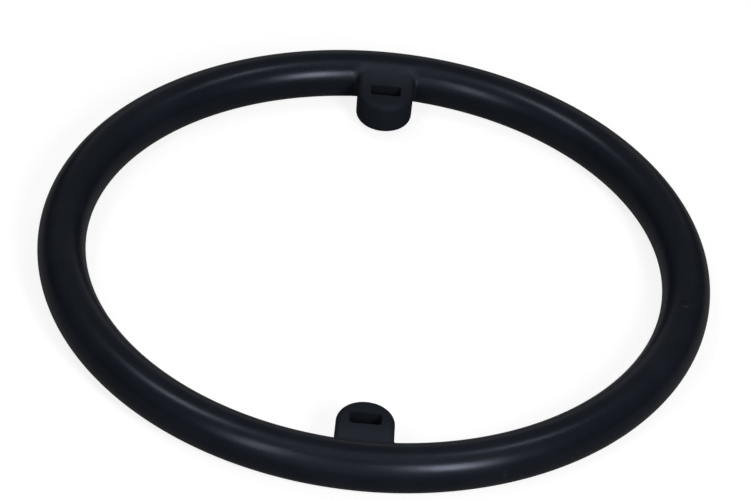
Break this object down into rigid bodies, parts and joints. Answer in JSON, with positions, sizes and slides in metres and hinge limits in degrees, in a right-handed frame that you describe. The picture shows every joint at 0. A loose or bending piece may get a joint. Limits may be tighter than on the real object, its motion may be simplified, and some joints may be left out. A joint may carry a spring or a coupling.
{
  "type": "oil cooler seal",
  "caption": "Round-section rubber sealing ring with slotted locating lugs moulded on its inner side, facing each other across the bore.",
  "frame": {"origin": "centre of the ring, midway between its two sealing crests", "axes": "+Z along the ring's axis, the lugs on the Y axis facing each other, +X completing the frame"},
  "size_m": [0.077, 0.077, 0.0054],
  "materials": {
    "black_rubber": "smooth moulded rubber, near-black with a blue cast, soft satin sheen"
  },
  "bodies": {
    "root": {"seal_ring": "black_rubber"}
  },
  "joints": []
}
